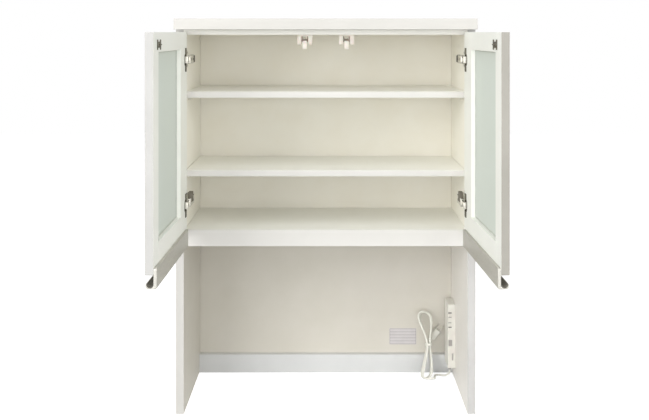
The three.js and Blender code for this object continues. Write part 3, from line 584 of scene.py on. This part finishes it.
# hinges: plate and arm on the carcass here, the cups with the doors
hinge = {
    "heights": {"lower": 564, "upper": 947}, "armFace": 361.4, "armHalf": 11, "armScrew": 3.9,
    "armScrews": {"lower": (47,), "upper": (20, 47)},  # the damper covers the lower arm's front screw
    "armEdge": {"lower": 0.0008, "upper": 0.0018}, "flangeTilt": 0.25, "damperGap": 0.5,
    "wing": {"x": 376.7, "depth": 38, "spread": 17.5, "screw": 3.6},
    "clipRoot": 369.2,
    "clip": {"lower": {"x": 366.0, "depths": (65.5, 69), "half": 5, "edge": 0.001},
             "upper": {"x": 359.4, "depths": (57, 71), "half": 9.5, "edge": 0.0024}},
}
for side, sign in (("left", -1), ("right", 1)):
    toMiddle = (-sign, 0, 0)
    for level, height in hinge["heights"].items():
        name = f"{side}_{level}_hinge"
        dress(name + "_plate", nickel, edge=0.0006)
        arm = dress(name + "_arm", nickel, hinge["armEdge"][level], segments=3, smooth=40)
        arm.data.materials.append(shadeSteel)
        arm.data.materials.append(damperPlastic)
        damperFoot = (height + hinge["armHalf"] + hinge["damperGap"]) * mm
        for face in arm.data.polygons:
            if abs(face.normal.z) > hinge["flangeTilt"]:  # the pressed arm's turned-in flanges are painted dark, painted shade along its edges
                face.material_index = 1
            if level == "lower" and face.center.z > damperFoot:
                face.material_index = 2
        wing, clip = hinge["wing"], hinge["clip"][level]
        heads, marks = bmesh.new(), bmesh.new()
        for end in (-1, 1):
            spot = rowPlace(sign * wing["x"], wing["depth"], height + end * wing["spread"])
            addScrew(heads, marks, spot, toMiddle, wing["screw"])
        for depth in hinge["armScrews"][level]:
            spot = rowPlace(sign * hinge["armFace"], depth, height)
            addScrew(heads, marks, spot, toMiddle, hinge["armScrew"])
        placeScrews(name, heads, marks, "carcass")
        bm = bmesh.new()  # the arm's rear clip, rounded and coloured dark as painted shade
        addRowBlock(bm, (sign * clip["x"], sign * hinge["clipRoot"]), clip["depths"],
                    (height - clip["half"], height + clip["half"]))
        softenEdges(bm, clip["edge"], segments=4)
        place(name + "_clip", toMesh(name + "_clip", bm, smooth=40), shadeSteel, "carcass")
print("hinges dressed")

latch = {"fromCentre": 56, "leafX": (6.6, 8.6), "leafDepths": (22, 23.5), "leafZ": (994, 1008.5),
         "leafEdge": 0.0003}
for side, sign in (("left", -1), ("right", 1)):
    dress(f"{side}_latch_body", latchPlastic, smooth=40)
    dress(f"{side}_latch_hook", latchPlastic, smooth=40)
    bm = bmesh.new()  # the return spring's two leaves, beside the hook, coloured dark as painted shade in the gaps
    for end in (-1, 1):
        xs = [sign * latch["fromCentre"] + end * x for x in latch["leafX"]]
        addRowBlock(bm, xs, latch["leafDepths"], latch["leafZ"])
    softenEdges(bm, latch["leafEdge"])
    place(f"{side}_latch_shade_leaves", toMesh("latch_shade_leaves", bm), springShadeBronze, "carcass")

# outlet strip: edges in metres, depths counted in mm from the cover's face
outlet = {
    "front": 215, "slotX": (357.9, 367.7), "slotZ": (157.95, 170.65, 186.95, 199.65), "slotShadeThick": 0.4,
    "wideSlot": {"depth": -0.06, "half": 1.5}, "deepSlot": {"depth": 1.2, "half": 0.95}, "slotEdge": 0.00002,
    "switch": {"xs": (358.6, 369.2), "zs": (103.6, 121.4), "depths": (-1.6, -0.9), "edge": 0.0003},
    "jack": {"xs": (368.6, 372.8), "zs": (61, 81), "depths": (0.2, 1.9), "edge": 0.0004},
}
dress("outlet_body", outletWhite, edge=0.0012, segments=3)
dress("outlet_cover", outletPlastic, edge=0.0011, segments=3)


def addInsert(name, material, xs, zs, depths, edge):
    # a block set in the cover
    bm = bmesh.new()
    addRowBlock(bm, xs, [outlet["front"] + depth for depth in depths], zs)
    softenEdges(bm, edge)
    place(name, toMesh(name, bm), material, "carcass")


for index, height in enumerate(outlet["slotZ"]):
    # dark blocks in the slots stand for their shade, painted shade: the outer slots have a wide dark mouth,
    # the inner two lie deeper
    slot = outlet["wideSlot"] if index in (0, 3) else outlet["deepSlot"]
    addInsert(f"outlet_slot_shade_{index + 1}", recessDark, outlet["slotX"],
              (height - slot["half"], height + slot["half"]),
              (slot["depth"], slot["depth"] + outlet["slotShadeThick"]), outlet["slotEdge"])
addInsert("outlet_switch", socketGrey, **outlet["switch"])
addInsert("outlet_jack", paleInsert, **outlet["jack"])
print("latches and outlet dressed")

# doors, drawn in mm: u towards the free edge, v towards the wall
door = {
    "pivot": (387.4, -22), "angle": {"left": 91.4, "right": 92.6}, "bottom": 485.5,
    "pullWall": 3, "pullFront": 19.3, "pullSlack": 0.2, "pullTilt": 0.3,
    "toneReach": 60, "toneCuts": (12, 30, 60),
    "cupScrew": {"u": 10.4, "v": 20.55, "spread": 24, "radius": 3.6},
    "knuckle": {"us": (9, 17), "vs": (10.5, 26.5), "half": 9, "edge": 1.6},
    "strikeScrew": {"u": 331.4, "v": 20.5, "z": 991.5, "spread": 14.4, "radius": 2.8},
}


def doorMatrix(side):
    # the door's drawing to the row frame; the right door's is turned over
    sign = 1 if side == "left" else -1
    spot = rowPlace(-sign * door["pivot"][0], door["pivot"][1], 0)
    turn = Matrix.Rotation(-sign * math.radians(door["angle"][side]), 4, "Z")
    return Matrix.Translation(spot) @ turn @ Matrix.Diagonal((sign, 1, 1, 1)) @ Matrix.Scale(mm, 4)


def paneUv(mesh, toDrawing, us, zs):
    # u of the map is the share of the way in from the pane's edge, full at the tone's reach
    layer = mesh.uv_layers.new(name="pane")
    for loop in mesh.loops:
        p = toDrawing @ mesh.vertices[loop.vertex_index].co
        fromEdge = min(p.x - us[0], us[1] - p.x, p.z - zs[0], zs[1] - p.z)
        layer.data[loop.index].uv = (max(0.0, min(1.0, fromEdge / door["toneReach"])), 0.5)


for side in ("left", "right"):
    body = f"{side}_door"
    toRow = doorMatrix(side)
    toDrawing = toRow.inverted()
    alongU, alongV = (toRow.to_3x3() @ Vector(axis) for axis in ((1, 0, 0), (0, 1, 0)))
    away, outward = alongU.normalized(), -alongV.normalized()
    for part in ("hinge_stile", "free_stile", "top_rail", "bottom_rail"):
        piece = dress(f"{side}_door_{part}", doorFoil)
        # the outer faces in the darker white foil, painted shade, keep their tone under the lamps when the
        # doors are closed
        paintFaces(piece, whiteFoil, outward)
        if part == "free_stile":  # the right door's free edge is grey, the left door's a darker white, painted shade
            paintFaces(piece, greyFreeEdgeFoil if side == "right" else shadedEdgeFoil, away)

    # the pane: cut into a grid, so that its edge tone can follow
    bm = copyOfNode(f"{side}_door_glass")
    bmesh.ops.transform(bm, matrix=toDrawing, verts=bm.verts)
    us, zs = ([end(v.co[axis] for v in bm.verts) for end in (min, max)] for axis in (0, 2))
    for offset in door["toneCuts"]:
        for across, (low, high) in (((1, 0, 0), us), ((0, 0, 1), zs)):
            for at in (low + offset, high - offset):
                cutThrough(bm, Vector(across) * at, across)
    bmesh.ops.transform(bm, matrix=toRow, verts=bm.verts)
    mesh = toMesh(f"{side}_pane", bm)
    paneUv(mesh, toDrawing, us, zs)
    pane = place(f"{side}_pane", mesh, frostedGlass, body)
    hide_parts(f"{side}_door_glass")
    # the pane's outer face in the greyer copy, painted shade
    paintFaces(pane, shadedOuterGlass, outward)
    dress(f"{side}_door_gasket", gasketVinyl, edge=0.0003)

    # the pull: its hollow is painted darker than its outer faces, painted shade
    pull = dress(f"{side}_door_pull", satinAluminium, edge=0.0003, smooth=30, fromAngle=50)
    pull.data.materials.append(hollowShadeAluminium)
    tilt = door["pullTilt"]
    for face in pull.data.polygons:
        at, out = toDrawing @ face.center, (toDrawing.to_3x3() @ face.normal).normalized()
        inside = door["pullWall"] < at.y < door["pullFront"] + door["pullSlack"] and at.z < door["bottom"]
        if inside and out.z > -tilt and (abs(out.y) > tilt or out.z > tilt):
            face.material_index = 1

    # strike, hinge cups and their screws
    dress(f"{side}_door_strike", darkSteel, edge=0.0003)
    heads, marks = bmesh.new(), bmesh.new()
    cupScrew, knuckle, strikeScrew = door["cupScrew"], door["knuckle"], door["strikeScrew"]
    for level, height in hinge["heights"].items():
        dress(f"{side}_{level}_hinge_cup", darkSteel, edge=0.0003, smooth=40)
        for end in (-1, 1):
            spot = toRow @ Vector((cupScrew["u"], cupScrew["v"], height + end * cupScrew["spread"]))
            addScrew(heads, marks, spot, alongV, cupScrew["radius"])
        bm = bmesh.new()  # the knuckle that comes out of the cup
        addBlock(bm, knuckle["us"], knuckle["vs"], (height - knuckle["half"], height + knuckle["half"]))
        softenEdges(bm, knuckle["edge"], segments=3)
        bmesh.ops.transform(bm, matrix=toRow, verts=bm.verts)
        bmesh.ops.recalc_face_normals(bm, faces=bm.faces)
        place(f"{side}_{level}_cup_bridge", toMesh("bridge", bm, smooth=40), nickel, body)
    for end in (-1, 1):
        u = strikeScrew["u"] + end * strikeScrew["spread"]
        spot = toRow @ Vector((u, strikeScrew["v"], strikeScrew["z"]))
        addScrew(heads, marks, spot, alongV, strikeScrew["radius"])
    placeScrews(f"{side}_door", heads, marks, body)
print("doors dressed")
